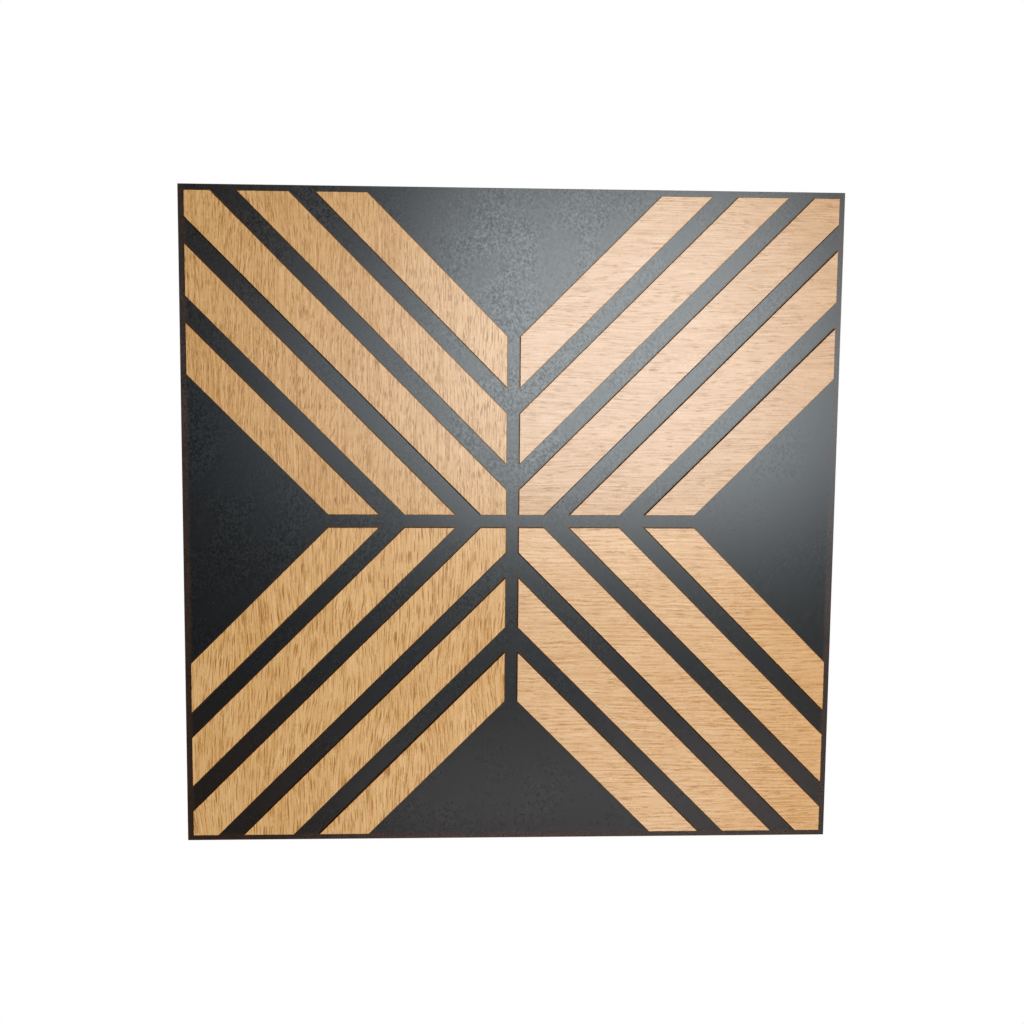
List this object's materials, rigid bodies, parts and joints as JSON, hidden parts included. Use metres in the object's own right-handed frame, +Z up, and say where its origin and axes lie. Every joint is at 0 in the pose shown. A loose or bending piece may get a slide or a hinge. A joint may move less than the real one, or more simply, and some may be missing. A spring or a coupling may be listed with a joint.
{
  "type": "textured wall panel",
  "caption": "Square black wall panel with raised oak slats fanning at 45 degrees towards a cross-shaped gap at its centre.",
  "frame": {"origin": "centre of the flat back face, where the panel meets the wall", "axes": "+Z up, +X to the right seen from the front, +Y into the wall; the slatted face looks along -Y"},
  "size_m": [0.5, 0.0062, 0.5],
  "materials": {
    "black_board": "satin black lacquered fibreboard with a fine texture, raw fibreboard at the back",
    "oak_slat": "light satin oak veneer on fibreboard, with dark laser-cut edges"
  },
  "bodies": {
    "root": {"backing_board": "black_board", "slat_upper_left_1": "oak_slat", "slat_upper_left_2": "oak_slat", "slat_upper_left_3": "oak_slat", "slat_upper_left_4": "oak_slat", "slat_upper_left_5": "oak_slat", "slat_upper_right_1": "oak_slat", "slat_upper_right_2": "oak_slat", "slat_upper_right_3": "oak_slat", "slat_upper_right_4": "oak_slat", "slat_upper_right_5": "oak_slat", "slat_lower_left_1": "oak_slat", "slat_lower_left_2": "oak_slat", "slat_lower_left_3": "oak_slat", "slat_lower_left_4": "oak_slat", "slat_lower_left_5": "oak_slat", "slat_lower_right_1": "oak_slat", "slat_lower_right_2": "oak_slat", "slat_lower_right_3": "oak_slat", "slat_lower_right_4": "oak_slat", "slat_lower_right_5": "oak_slat"}
  },
  "joints": []
}
